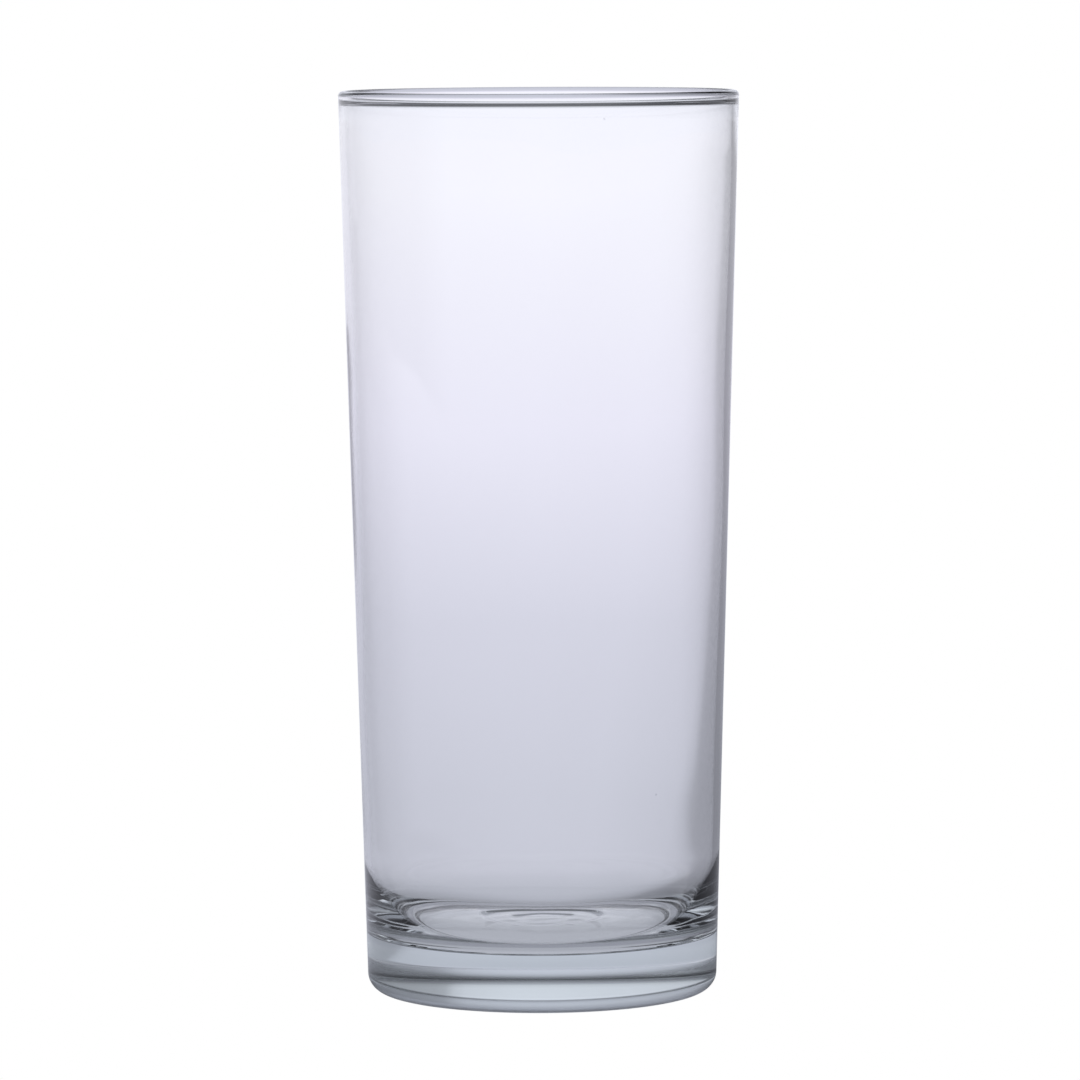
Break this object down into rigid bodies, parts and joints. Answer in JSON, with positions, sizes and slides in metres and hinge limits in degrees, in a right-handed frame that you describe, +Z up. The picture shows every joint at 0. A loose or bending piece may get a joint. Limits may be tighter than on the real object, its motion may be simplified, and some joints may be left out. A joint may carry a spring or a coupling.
{
  "type": "highball glass",
  "caption": "Tall, slightly flared drinking glass of clear glass, with a thick solid base, a rounded inner heel, a hollowed foot with a rounded edge and a fire-polished rim.",
  "frame": {"origin": "on the table plane, at the centre of the foot", "axes": "+Z up along the axis of the glass, from the foot to the rim; X and Y are alike because the glass is round"},
  "size_m": [0.0642, 0.0642, 0.145],
  "materials": {
    "clear_glass": "clear soda-lime glass, smooth and fire-polished"
  },
  "bodies": {
    "root": {"tumbler": "clear_glass"}
  },
  "joints": []
}
